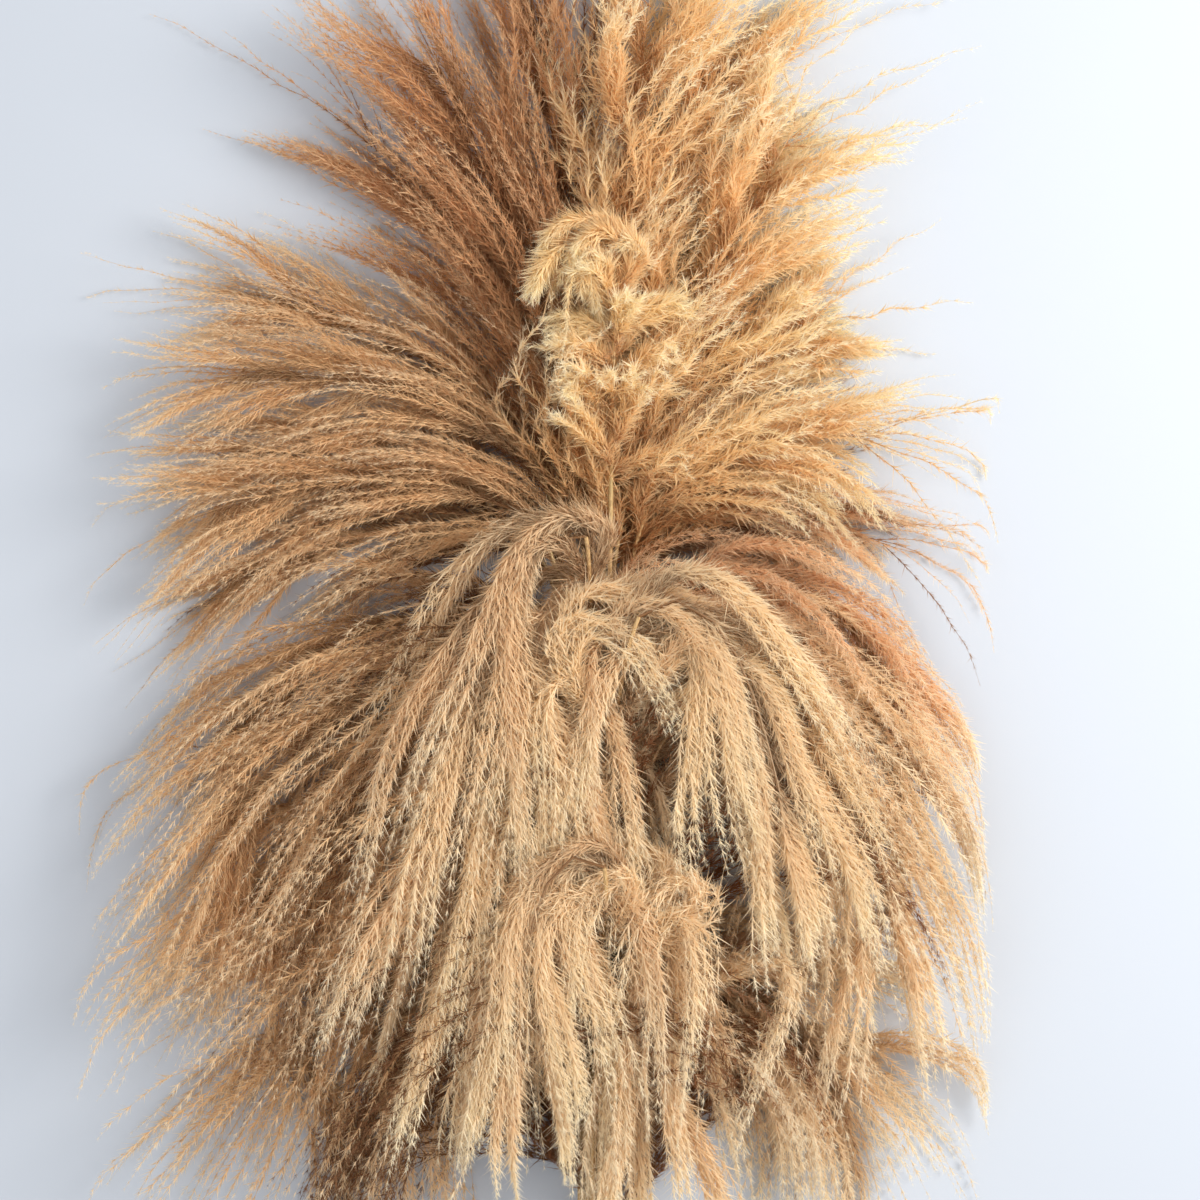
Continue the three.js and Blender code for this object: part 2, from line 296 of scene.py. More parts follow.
def plumeAxis(base, lean, turn, length, tipZ):  # evenly spaced points of the plume's main axis, in metres
    steps = 200  # short steps, so that the bend is smooth
    along = np.arange(steps) * length / steps
    lean = lean[1] + (lean[0] - lean[1]) * np.exp(-along / turn)
    moves = heading(lean) * length / steps
    moves[:, 2] = (tipZ - base[2]) / steps
    points = np.vstack([base, np.array(base) + np.cumsum(moves, 0)])
    return points / 1000 + cutEnds


def stemAxis(index, row, steps=40):  # straight in the sheaf, then one bend up to the plume's base
    (layer, place), leaves, base, lean = row[:4]
    x = (place - (sheafRows[layer] - 1) / 2) * stemPitch
    z = sheafMiddle - halfHeight + layer * layerPitch
    cut = np.array([x, stemSizes["stagger"] * (index % stemSizes["lengths"]), z])
    leave = np.array([x, leaves, z])
    up = heading(lean[0])
    top = np.array(base) - up * stemSizes["endGap"]
    rise = np.linalg.norm(top - leave)
    aside = abs(top[0] - leave[0]) / abs(up[0])
    second = leave + np.array([0, rise * neck["start"], 0])
    third = top - up * min(rise * neck["end"], aside * neck["aside"])
    t = np.linspace(0, 1, steps)[:, None]
    bend = (1 - t) ** 3 * leave + 3 * (1 - t) ** 2 * t * second + 3 * (1 - t) * t * t * third + t ** 3 * top
    straight = cut + np.linspace(0, 1, steps)[:-1, None] * (leave - cut)
    return np.vstack([straight, bend]) / 1000 + cutEnds


def evenly(points, count):  # the same path, with its points an even distance apart
    run = np.append(0, np.cumsum(np.linalg.norm(np.diff(points, axis=0), axis=1)))
    at = np.linspace(0, run[-1], count)
    return np.stack([np.interp(at, run, points[:, k]) for k in range(3)], -1)


def atShare(points, share):  # the axis at a share of its length
    steps = np.linspace(0, 1, len(points))
    return np.stack([np.interp(share, steps, points[:, k]) for k in range(3)], -1)


def unit(vectors):
    return vectors / np.maximum(np.linalg.norm(vectors, axis=-1, keepdims=True), 1e-9)


# plumes: strands along the axis, each set with tufts of silky hair

# shade in these looks is painted shade: how far the strands that start below a plume's base, among the stems,
# are darkened
strandLook = {
    "locks": 18, "inLock": 8, "points": 31, "below": 0.16, "last": 0.74, "crowd": 1.2,
    "longShare": 0.50, "shortShare": 0.26, "past": 1.02, "spread": 42, "flat": 0.5, "gather": 0.45,
    "droop": 0.25, "pull": (0, -1, 0), "shade": 0.30, "wave": 0.16, "curl": 0.10, "uneven": 0.9,
    "hair": 1.0, "loose": 0.4,
    "wisps": 10, "wispReach": (0.30, 0.46), "wispFrom": (0.45, 0.80), "wispHair": 0.62,
    "twigRoot": 0.00042, "twigTip": 0.00010, "axisBase": 0.0020, "axisTip": 0.0006,
}
goldenAngle = 2.39996
vary = {  # each lock's own range, then how far a single strand strays from its lock
    "reach": (0.82, 1.12, 0.16), "end": (0.75, 0.97, 0.12), "opening": (0.35, 1.0, 0.3),
    "tone": (-0.26, 0.26, 0.16), "thick": (0.82, 1.12), "overlap": 1.4,
}
axisSteps = {"below": 40, "whole": 260}
swayPace = (5, 6, 6)
kinkPace = (17, 3)
hairAlong = ([0, 0.06, 0.25, 0.65, 0.85, 1], [0.6, 0.9, 1, 0.85, 0.6, 0.3])  # share of strand, hair size
limits = {"low": 0.006, "high": (0.140, 0.188), "side": (0.41, 0.464), "far": (0.80, 0.865)}


def easeIn(values, start, end):  # values past start crowd together and never pass end
    over = np.maximum(values - start, 0)
    return np.minimum(values, start) + (end - start) * np.tanh(over / (end - start))


def settle(points):  # keeps the strands above the floor and inside the bundle's own size
    points[..., 0] = np.sign(points[..., 0]) * easeIn(np.abs(points[..., 0]), *limits["side"])
    points[..., 1] = easeIn(points[..., 1], *limits["far"])
    points[..., 2] = np.maximum(easeIn(points[..., 2], *limits["high"]), limits["low"])
    return points


def strandSet(index, row, look, rng):
    base, lean, turn, length, tipZ = row[2:7]
    # the plume's tone, partly its own and partly painted shade
    shade = row[8]
    plume = plumeAxis(base, lean, turn, length, tipZ)
    size = length / 1000
    stem = stemAxis(index, row)
    run = np.append(0, np.cumsum(np.linalg.norm(np.diff(stem[::-1], axis=0), axis=1)))[::-1]
    below = np.linspace(look["below"] * size, 0, axisSteps["below"])[:-1]
    low = np.stack([np.interp(-below, -run, stem[:, k]) for k in range(3)], -1)
    axis = evenly(np.vstack([low, plume]), axisSteps["whole"])
    whole = size * (1 + look["below"])
    locks, inLock, steps, wisps = look["locks"], look["inLock"], look["points"], look["wisps"]
    full = locks * inLock
    count = full + wisps

    def perLock(low, high, loose):  # one value for each lock, with a small change for each strand in it
        shared = np.append(np.repeat(rng.uniform(low, high, locks), inLock), rng.uniform(low, high, wisps))
        return shared + rng.uniform(-loose, loose, count)

    lock = np.repeat(np.arange(locks), inLock)
    order = (lock + rng.random(full) * vary["overlap"]) / (locks + vary["overlap"] - 1)
    start = look["last"] * np.clip(order, 0, 1) ** look["crowd"]
    start = np.append(start, rng.uniform(*look["wispFrom"], wisps))
    reach = look["longShare"] + (look["shortShare"] - look["longShare"]) * start
    reach = np.minimum(reach * perLock(*vary["reach"]), (look["past"] - start) * perLock(*vary["end"]))
    reach[full:] = rng.uniform(*look["wispReach"], wisps)
    reach = reach * whole
    thick = np.append(np.ones(full), np.full(wisps, look["wispHair"])) * rng.uniform(*vary["thick"], count)
    around = np.append(np.repeat(goldenAngle * np.arange(locks), inLock), rng.uniform(0, 2 * math.pi, wisps))
    around = around + rng.uniform(-1, 1, count) * look["loose"]
    least, most, stray = vary["opening"]
    spread = np.radians(look["spread"]) * perLock(least, most, stray * look["loose"])
    phase = [perLock(0, 2 * math.pi, look["loose"]) for k in range(3)]
    curl = [rng.uniform(0, 2 * math.pi, count) for k in range(3)]
    tangent = unit(np.gradient(axis, axis=0))
    at = atShare(axis, start)
    hidden = look["below"] / (1 + look["below"])  # the share of the axis below the plume's own base
    # strands starting below the plume's base lose tone by look shade: painted shade among the stems, which
    # the hollow colour deepens
    tone = shade + perLock(*vary["tone"]) - look["shade"] * np.clip(1 - start / max(hidden, 0.01), 0, 1)
    tone = np.clip(tone, 0, 1)
    points = []
    for step in range(steps):
        t = step / (steps - 1)
        way = unit(atShare(tangent, np.minimum(start + t * reach / whole, 1)))
        side = unit(np.cross(way, (0, 0, 1)))
        up = np.cross(side, way)
        out = side * np.cos(around)[:, None] + up * np.sin(around)[:, None] * look["flat"]
        opening = (spread * (1 - look["gather"] * t))[:, None]
        sway = np.stack([np.sin(swayPace[k] * t + phase[k]) for k in range(3)], -1) * (1, 1, 0.4)
        kink = np.stack([np.sin((kinkPace[0] + kinkPace[1] * k) * t + curl[k]) for k in range(3)], -1)
        way = way * np.cos(opening) + out * np.sin(opening) + look["wave"] * sway * t + look["curl"] * kink
        way = unit(way + unit(np.array(look["pull"])) * look["droop"] * t * t)
        points.append(at.copy())
        at = at + way * (reach / (steps - 1))[:, None]
    points = settle(np.array(points).transpose(1, 0, 2))
    where = np.arange(steps) + rng.uniform(-0.5, 0.5, (count, steps)) * look["uneven"]  # uneven spacing
    where = np.clip(where, 0, steps - 1.001)
    floor = where.astype(int)
    part = (where - floor)[..., None]
    rows = np.arange(count)[:, None]
    points = points[rows, floor] * (1 - part) + points[rows, floor + 1] * part
    ways = unit(np.gradient(points, axis=1))
    t = np.linspace(0, 1, steps)
    fluff = look["hair"] * np.interp(t, *hairAlong)
    twig = look["twigRoot"] + (look["twigTip"] - look["twigRoot"]) * t
    core = atShare(plume, np.linspace(0, look["last"] + 0.03, steps))
    strands = {
        "points": np.vstack([points.reshape(-1, 3), core]),
        "way": np.vstack([ways.reshape(-1, 3), unit(np.gradient(core, axis=0))]),
        "tone": np.append(np.repeat(tone, steps), np.full(steps, shade)),
        "place": np.append(np.tile(t, count), 0.3 * t),
        "fluff": np.append((fluff * thick[:, None]).ravel(), np.zeros(steps)),
        "twig": np.append(np.tile(twig, count), look["axisBase"] + (look["axisTip"] - look["axisBase"]) * t),
    }
    first = np.arange((count + 1) * steps).reshape(count + 1, steps)
    return strands, np.stack([first[:, :-1].ravel(), first[:, 1:].ravel()], -1)


def guideObject(name, strands, edges):
    mesh = bpy.data.meshes.new(name)
    mesh.vertices.add(len(strands["points"]))
    mesh.vertices.foreach_set("co", strands["points"].astype(np.float32).ravel())
    mesh.edges.add(len(edges))
    mesh.edges.foreach_set("vertices", edges.astype(np.int32).ravel())
    for label in ("tone", "place", "fluff", "twig"):
        values = mesh.attributes.new(label, "FLOAT", "POINT").data
        values.foreach_set("value", strands[label].astype(np.float32))
    ways = mesh.attributes.new("way", "FLOAT_VECTOR", "POINT").data
    ways.foreach_set("vector", strands["way"].astype(np.float32).ravel())
    guide = bpy.data.objects.new(name, mesh)
    bpy.context.scene.collection.objects.link(guide)
    return guide


tuftLook = {"spikelets": 7, "length": (0.0064, 0.0156), "width": 0.00120, "lean": (10, 54),
            "foot": 0.0026, "uneven": 0.45, "pitch": 0.6, "bend": (-0.1, 0.35)}


def tuftObject(name, rng):  # a spray of narrow spikelets leaning forward along +Z
    corners, faces, across, out = [], [], [], []
    for i in range(tuftLook["spikelets"]):
        turn = 2 * math.pi * (i + rng.uniform(-1, 1) * tuftLook["uneven"]) / tuftLook["spikelets"]
        lean = math.radians(rng.uniform(*tuftLook["lean"]))
        length = rng.uniform(*tuftLook["length"])
        radial = np.array([math.cos(turn), math.sin(turn), 0])
        flat = math.cos(tuftLook["pitch"])
        edge = np.array([-math.sin(turn) * flat, math.cos(turn) * flat, math.sin(tuftLook["pitch"])])
        edge = edge * tuftLook["width"] / 2
        foot = np.array([0, 0, rng.uniform(-1, 1) * tuftLook["foot"]])
        way = radial * math.sin(lean) + np.array([0, 0, math.cos(lean)])
        tip = foot + (way + rng.uniform(*tuftLook["bend"]) * radial * math.cos(lean)) * length
        faces.append((len(corners), len(corners) + 1, len(corners) + 2))
        corners += [foot - edge, foot + edge, tip]
        across += [0, 1, 0.5]
        out += [0, 0, 1]
    mesh = bpy.data.meshes.new(name)
    mesh.from_pydata([tuple(c) for c in corners], [], faces)
    mesh.attributes.new("across", "FLOAT", "POINT").data.foreach_set("value", across)
    mesh.attributes.new("outward", "FLOAT", "POINT").data.foreach_set("value", out)
    tuft = bpy.data.objects.new(name, mesh)
    bpy.context.scene.collection.objects.link(tuft)
    return tuft


strandMap = {"edge": 0.03, "tone": 0.88, "across": 0.05, "place": 0.70, "outward": 0.24}


def featherTree():
    inputs = [("Geometry", "NodeSocketGeometry", None), ("Tuft A", "NodeSocketObject", None),
              ("Tuft B", "NodeSocketObject", None), ("Tuft C", "NodeSocketObject", None),
              ("Hair Size", "NodeSocketFloat", 1.0), ("Size Variation", "NodeSocketFloat", 0.4),
              ("Twig Steps", "NodeSocketInt", 9), ("Twig Sides", "NodeSocketInt", 3),
              ("Lowest", "NodeSocketFloat", 0.0005), ("Seed", "NodeSocketInt", 0),
              ("Material", "NodeSocketMaterial", None)]
    tree, given, made = newGroup("featherStrands", "GeometryNodeTree", inputs,
                                 [("Geometry", "NodeSocketGeometry")])
    tufts = addNode(tree, "GeometryNodeJoinGeometry")
    for label in ("Tuft C", "Tuft B", "Tuft A"):
        spray = addNode(tree, "GeometryNodeObjectInfo", {"Object": given[label], "As Instance": True})
        tree.links.new(spray.outputs["Geometry"], tufts.inputs[0])
    anyTuft = addNode(tree, "FunctionNodeRandomValue", {4: 0, 5: 2, "Seed": given["Seed"]}, data_type="INT")
    along = addNode(tree, "FunctionNodeAlignRotationToVector",
                    {"Vector": attribute(tree, "way", "FLOAT_VECTOR")}, axis="Z")
    anyTurn = addNode(tree, "FunctionNodeRandomValue", {2: 0.0, 3: 2 * math.pi, "Seed": given["Seed"]})
    spin = addNode(tree, "FunctionNodeAxisAngleToRotation", {"Axis": (0, 0, 1), "Angle": anyTurn.outputs[1]})
    turned = addNode(tree, "FunctionNodeRotateRotation",
                     {"Rotation": along.outputs[0], "Rotate By": spin.outputs[0]}, rotation_space="LOCAL")
    low = mathNode(tree, "SUBTRACT", 1.0, given["Size Variation"])
    high = mathNode(tree, "ADD", 1.0, given["Size Variation"])
    vary = addNode(tree, "FunctionNodeRandomValue", {2: low, 3: high, "Seed": given["Seed"]})
    fluff = attribute(tree, "fluff")
    scale = mathNode(tree, "MULTIPLY", mathNode(tree, "MULTIPLY", fluff, vary.outputs[1]), given["Hair Size"])
    hairy = addNode(tree, "FunctionNodeCompare", {0: fluff, 1: 0.01}, operation="GREATER_THAN").outputs[0]
    sprays = addNode(tree, "GeometryNodeInstanceOnPoints",
                     {"Points": given["Geometry"], "Selection": hairy, "Instance": tufts.outputs[0],
                      "Pick Instance": True, "Instance Index": anyTuft.outputs[2],
                      "Rotation": turned.outputs[0], "Scale": scale})
    spread = addNode(tree, "GeometryNodeRealizeInstances", {"Geometry": sprays.outputs[0]})
    paths = addNode(tree, "GeometryNodeMeshToCurve", {"Mesh": given["Geometry"]})
    coarse = addNode(tree, "GeometryNodeResampleCurve",
                     {"Curve": paths.outputs[0], "Count": given["Twig Steps"]})
    ring = addNode(tree, "GeometryNodeCurvePrimitiveCircle",
                   {"Resolution": given["Twig Sides"], "Radius": 1.0})
    index = addNode(tree, "GeometryNodeInputIndex").outputs[0]
    half = mathNode(tree, "MULTIPLY", index, 0.5)
    marked = addNode(tree, "GeometryNodeStoreNamedAttribute",
                     {"Geometry": ring.outputs[0], "Name": "across", "Value": half}, data_type="FLOAT",
                     domain="POINT")
    twigs = addNode(tree, "GeometryNodeCurveToMesh",
                    {"Curve": coarse.outputs[0], "Profile Curve": marked.outputs[0],
                     "Scale": attribute(tree, "twig"), "Fill Caps": True})
    joined = addNode(tree, "GeometryNodeJoinGeometry")
    tree.links.new(twigs.outputs[0], joined.inputs[0])
    tree.links.new(spread.outputs[0], joined.inputs[0])
    sides = {}
    for side, long, fine in (("X", "tone", "across"), ("Y", "place", "outward")):
        start = mathNode(tree, "MULTIPLY_ADD", attribute(tree, long), strandMap[long], strandMap["edge"])
        more = mathNode(tree, "MULTIPLY", attribute(tree, fine), strandMap[fine])
        sides[side] = mathNode(tree, "ADD", start, more)
    place = addNode(tree, "ShaderNodeCombineXYZ", sides)
    mapped = addNode(tree, "GeometryNodeStoreNamedAttribute",
                     {"Geometry": joined.outputs[0], "Name": "OFBake", "Value": place.outputs[0]},
                     data_type="FLOAT2", domain="CORNER")
    where = addNode(tree, "ShaderNodeSeparateXYZ", {0: addNode(tree, "GeometryNodeInputPosition").outputs[0]})
    above = mathNode(tree, "MAXIMUM", where.outputs["Z"], given["Lowest"])
    lifted = addNode(tree, "ShaderNodeCombineXYZ",
                     {"X": where.outputs["X"], "Y": where.outputs["Y"], "Z": above})
    laid = addNode(tree, "GeometryNodeSetPosition",
                   {"Geometry": mapped.outputs[0], "Position": lifted.outputs[0]})
    whole = addNode(tree, "GeometryNodeRealizeInstances", {"Geometry": laid.outputs[0]})
    painted = addNode(tree, "GeometryNodeSetMaterial",
                      {"Geometry": whole.outputs[0], "Material": given["Material"]})
    tree.links.new(painted.outputs[0], made["Geometry"])
    return tree


def harden(piece):  # the modifier's result becomes the piece's own plain mesh
    graph = bpy.context.evaluated_depsgraph_get()
    mesh = bpy.data.meshes.new_from_object(piece.evaluated_get(graph))
    piece.modifiers.clear()
    piece.data = mesh
    for label in ("tone", "place", "fluff", "twig", "way", "across", "outward"):
        if label in mesh.attributes:
            mesh.attributes.remove(mesh.attributes[label])
    return piece


feather = featherTree()
tufts = {label: tuftObject(label, np.random.default_rng(seed))
         for seed, label in enumerate(("Tuft A", "Tuft B", "Tuft C"))}


plumeLooks = {  # what differs from strandLook, for a group of plumes and then for one of them
    "upper_left": {"spread": 50, "droop": 0.35, "pull": (-1, -0.2, 0), "hair": 1.15, "inLock": 10,
                   "below": 0.20, "crowd": 1.05, "gather": 0.6},
    "upper_left_1": {"spread": 34, "inLock": 10, "past": 1.02, "last": 0.58, "gather": 0.2,
                     "droop": 0.1},
    "upper_right": {"spread": 60, "droop": 0.8, "pull": (1, -0.35, 0), "hair": 1.6, "inLock": 11,
                    "below": 0.24, "curl": 0.30, "longShare": 0.38, "shortShare": 0.24},
    "upper_front": {"locks": 26, "inLock": 8, "spread": 76, "hair": 1.5, "below": 1.30, "crowd": 1.0,
                    "curl": 0.26, "droop": 0.9, "pull": (-0.1, -1, 0), "longShare": 0.22,
                    "shortShare": 0.17, "wisps": 6, "shade": 0.0, "last": 0.74, "loose": 0.35,
                    "gather": 0.2},
    "left_fan": {"spread": 42, "droop": 0.1, "hair": 1.0, "inLock": 9, "gather": 0.35},
    "lower_left": {"spread": 46, "droop": 0.45, "inLock": 10, "hair": 1.2, "below": 0.26, "shade": 0.7},
    "right": {"spread": 46, "droop": 0.40, "inLock": 9, "hair": 1.3},
    "right_1": {"wisps": 16, "wispReach": (0.40, 0.66), "gather": 0.0, "past": 1.0, "last": 0.55,
                "hair": 1.4},
    "right_2": {"wisps": 14, "wispReach": (0.45, 0.72), "gather": 0.0, "past": 0.98, "last": 0.55,
                "droop": 0.1},
    "centre": {"spread": 54, "gather": 0.6, "droop": 1.1, "flat": 0.6, "hair": 1.5, "crowd": 1.3,
               "locks": 16, "inLock": 14, "loose": 0.26, "below": 0.10, "shade": 0.0, "wave": 0.26},
    "centre_1": {"spread": 50, "longShare": 0.58, "past": 1.1, "locks": 20, "pull": (-0.25, -1, 0.1)},
    "centre_2": {"below": 0.20, "spread": 64, "longShare": 0.60, "past": 1.1, "pull": (-0.1, -1, 0.1)},
    "centre_3": {"below": 0.40, "spread": 64, "longShare": 0.8, "past": 1.3, "pull": (0, -1, 0.1)},
    "centre_4": {"below": 0.36, "longShare": 0.60, "past": 1.08, "spread": 60, "droop": 1.5,
                 "locks": 20, "pull": (0.3, -1, 0)},
    "right_3": {"below": 0.30, "locks": 22, "shade": 0.6},
    "right_4": {"below": 0.36, "locks": 22, "inLock": 10, "shade": 0.7, "crowd": 1.4,
                "pull": (0.1, -1, -0.6)},
    "right_5": {"below": 0.52, "locks": 30, "inLock": 11, "shade": 0.9, "droop": 0.8, "crowd": 1.4,
                "spread": 58, "flat": 0.3, "pull": (0.2, -1, -0.9)},
    "right_6": {"below": 0.60, "locks": 32, "inLock": 11, "spread": 66, "shade": 0.7, "longShare": 0.56,
                "gather": 0.3, "pull": (0.5, -1, 0), "past": 1.15},
    "lower_left_3": {"below": 0.28, "locks": 26, "inLock": 10, "shade": 0.5, "spread": 58, "past": 1.3,
                     "longShare": 0.66, "pull": (-0.4, -1, 0)},
    "lower_left_4": {"below": 0.46, "locks": 34, "inLock": 12, "crowd": 1.6, "spread": 84,
                     "gather": 0.2, "shade": 0.9, "past": 1.3, "longShare": 0.70, "droop": 0.9,
                     "pull": (-0.35, -1, 0)},
    "lower_left_2": {"longShare": 0.60, "past": 1.15},
    "centre_5": {"spread": 56, "gather": 0.3, "longShare": 0.62, "locks": 20, "below": 0.4,
                 "droop": 1.5, "past": 1.1, "pull": (0.12, -1, 0)},
    "centre_6": {"spread": 50, "gather": 0.5, "longShare": 0.66, "locks": 18, "below": 0.5,
                 "droop": 1.5, "past": 1.15},
}


def addPlume(index, name, row):
    look = dict(strandLook)
    for start, changes in plumeLooks.items():
        if name.startswith(start):
            look.update(changes)
    rng = np.random.default_rng(100 + index)
    strands, edges = strandSet(index, row, look, rng)
    piece = guideObject("feathers_" + name, strands, edges)
    modifier = piece.modifiers.new("feather", "NODES")
    modifier.node_group = feather
    for label, tuft in tufts.items():
        setInput(modifier, label, tuft)
    setInput(modifier, "Seed", index)
    setInput(modifier, "Material", plumeMaterials[row[7]])
    harden(piece)
    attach(piece, "root")
    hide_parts("plume_" + name)
    return len(piece.data.polygons)


faces = [addPlume(index, name, row) for index, (name, row) in enumerate(stalks.items())]
for tuft in tufts.values():
    bpy.data.objects.remove(tuft)
print("plumes done,", sum(faces), "faces, most in one", max(faces))


# stems: round culms with a swelling at each node

culm = {"sides": 10, "steps": 90, "nodeEvery": (0.13, 0.22), "nodeRise": 0.22, "nodeLength": 0.006,
        "first": -0.05, "bareEnd": 0.03, "most": 14, "apart": 0.0004, "lowest": 0.0036}
strawTones = {"pale": (212, 178, 126), "deep": (164, 124, 76), "green": (160, 144, 92), "node": (126, 92, 56)}
strawFinish = {"roughness": 0.42, "specular": 0.4, "green": 0.45, "band": 0.75}


def strawGroup():  # fine fibres along the culm, slow changes of colour, and a darker band at each node
    inputs = [("Coordinates", "NodeSocketVector", None), ("Node", "NodeSocketFloat", 0.0),
              ("Fibre", "NodeSocketFloat", 900.0), ("Patch", "NodeSocketFloat", 9.0)]
    outputs = [("Shade", "NodeSocketFloat"), ("Green", "NodeSocketFloat"), ("Band", "NodeSocketFloat")]
    tree, given, made = newGroup("straw", "ShaderNodeTree", inputs, outputs)
    drawn = addNode(tree, "ShaderNodeVectorMath", {0: given["Coordinates"], 1: (1.0, 0.03, 1.0)},
                    operation="MULTIPLY")
    fibres = addNode(tree, "ShaderNodeTexNoise", {"Vector": drawn.outputs[0], "Scale": given["Fibre"],
                                                  "Detail": 2.0})
    patches = addNode(tree, "ShaderNodeTexNoise", {"Vector": given["Coordinates"], "Scale": given["Patch"],
                                                   "Detail": 3.0})
    shade = mathNode(tree, "MULTIPLY_ADD", fibres.outputs[0], 0.7,
                     mathNode(tree, "MULTIPLY", patches.outputs[0], 0.3))
    tree.links.new(smoothStep(tree, shade, 0.32, 0.68), made["Shade"])
    tree.links.new(smoothStep(tree, patches.outputs[0], 0.52, 0.72), made["Green"])
    tree.links.new(smoothStep(tree, given["Node"], 0.25, 0.9), made["Band"])
    return tree


def strawMaterial():
    material = bpy.data.materials.new("strawCulm")
    material.use_nodes = True
    tree = material.node_tree
    shader = tree.nodes["Principled BSDF"]
    shader.inputs["Roughness"].default_value = strawFinish["roughness"]
    shader.inputs["Specular IOR Level"].default_value = strawFinish["specular"]
    place = addNode(tree, "ShaderNodeTexCoord")
    knot = addNode(tree, "ShaderNodeAttribute", attribute_name="node")
    straw = addNode(tree, "ShaderNodeGroup", {}, node_tree=strawGroup())
    tree.links.new(place.outputs["Object"], straw.inputs["Coordinates"])
    tree.links.new(knot.outputs["Fac"], straw.inputs["Node"])
    body = mixColours(tree, straw.outputs["Shade"], straight(*strawTones["deep"]),
                      straight(*strawTones["pale"]))
    green = mathNode(tree, "MULTIPLY", straw.outputs["Green"], strawFinish["green"])
    greener = mixColours(tree, green, body, straight(*strawTones["green"]))
    band = mathNode(tree, "MULTIPLY", straw.outputs["Band"], strawFinish["band"])
    banded = mixColours(tree, band, greener, straight(*strawTones["node"]))
    tree.links.new(banded, shader.inputs["Base Color"])
    bump = addNode(tree, "ShaderNodeBump", {"Height": straw.outputs["Shade"], "Distance": 0.0002,
                                            "Strength": 0.35})
    tree.links.new(bump.outputs[0], shader.inputs["Normal"])
    return material


def sweepTree():  # sweeps a round section along a path whose points carry their own radius
    inputs = [("Geometry", "NodeSocketGeometry", None), ("Sides", "NodeSocketInt", 12),
              ("Material", "NodeSocketMaterial", None)]
    tree, given, made = newGroup("sweptPath", "GeometryNodeTree", inputs,
                                 [("Geometry", "NodeSocketGeometry")])
    path = addNode(tree, "GeometryNodeMeshToCurve", {"Mesh": given["Geometry"]})
    ring = addNode(tree, "GeometryNodeCurvePrimitiveCircle", {"Resolution": given["Sides"], "Radius": 1.0})
    tube = addNode(tree, "GeometryNodeCurveToMesh",
                   {"Curve": path.outputs[0], "Profile Curve": ring.outputs[0],
                    "Scale": attribute(tree, "twig"), "Fill Caps": True})
    smooth = addNode(tree, "GeometryNodeSetShadeSmooth", {"Geometry": tube.outputs[0]})
    whole = addNode(tree, "GeometryNodeRealizeInstances", {"Geometry": smooth.outputs[0]})
    painted = addNode(tree, "GeometryNodeSetMaterial", {"Geometry": whole.outputs[0],
                                                        "Material": given["Material"]})
    tree.links.new(painted.outputs[0], made["Geometry"])
    return tree


def pathObject(name, points, radii, marks):  # one open path with a radius and a mark at each point
    mesh = bpy.data.meshes.new(name)
    mesh.from_pydata([tuple(p) for p in points], [(i, i + 1) for i in range(len(points) - 1)], [])
    mesh.attributes.new("twig", "FLOAT", "POINT").data.foreach_set("value", np.asarray(radii, np.float32))
    mesh.attributes.new("node", "FLOAT", "POINT").data.foreach_set("value", np.asarray(marks, np.float32))
    piece = bpy.data.objects.new(name, mesh)
    bpy.context.scene.collection.objects.link(piece)
    return piece


swept = sweepTree()
straw = strawMaterial()


def addStem(index, name, row):
    rng = np.random.default_rng(400 + index)
    path = stemAxis(index, row)
    run = np.append(0, np.cumsum(np.linalg.norm(np.diff(path, axis=0), axis=1)))
    nodes = np.cumsum(rng.uniform(*culm["nodeEvery"], culm["most"])) + culm["first"]
    nodes = nodes[nodes < run[-1] - culm["bareEnd"]]
    spots = np.linspace(0, run[-1], culm["steps"])
    for node in nodes:  # close points round each node, so that its swelling is round
        spots = np.append(spots, node + culm["nodeLength"] * np.array([-1, -0.5, -0.2, 0, 0.2, 0.5, 1]))
    spots = np.unique(np.clip(spots, 0, run[-1]))
    spots = spots[np.append(True, np.diff(spots) > culm["apart"])]
    points = np.stack([np.interp(spots, run, path[:, k]) for k in range(3)], -1)
    points[:, 2] = np.maximum(points[:, 2], culm["lowest"])
    mark = np.zeros(len(spots))
    for node in nodes:
        mark = np.maximum(mark, np.exp(-((spots - node) / (0.4 * culm["nodeLength"])) ** 2))
    share = spots / run[-1]
    radius = (stemSizes["cut"] + (stemSizes["plume"] - stemSizes["cut"]) * share) / 1000
    radius = radius * (1 + culm["nodeRise"] * mark)
    piece = pathObject("culm_" + name, points, radius, mark)
    modifier = piece.modifiers.new("culm", "NODES")
    modifier.node_group = swept
    setInput(modifier, "Sides", culm["sides"])
    setInput(modifier, "Material", straw)
    harden(piece)
    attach(piece, "root")
    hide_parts("stem_" + name)


for index, (name, row) in enumerate(stalks.items()):
    addStem(index, name, row)
print("stems done")


# the twine tie: three-ply jute wound round the sheaf, with a small knot and two short tails

twine = {"turns": 4.35, "ply": 0.00082, "twist": 150, "stepsPerTurn": 150, "plies": 3, "sides": 7,
         "sink": 0.0006, "knotWidth": 0.0075, "tail": 0.045, "pitch": 4.1, "lift": 2.2, "nest": 0.95}
knot = {"shift": 0.55, "wide": 0.75, "tall": 0.62, "rise": 0.0022, "weave": 0.0014, "steps": 120}
tailShape = {"start": 0.006, "out": 0.95, "aside": 0.004, "bend": 0.012, "rise": 0.0026, "wave": 0.002,
             "clear": 0.0036, "over": 0.001, "lowest": 0.003}
jute = [(188, 152, 104), (140, 106, 66)]


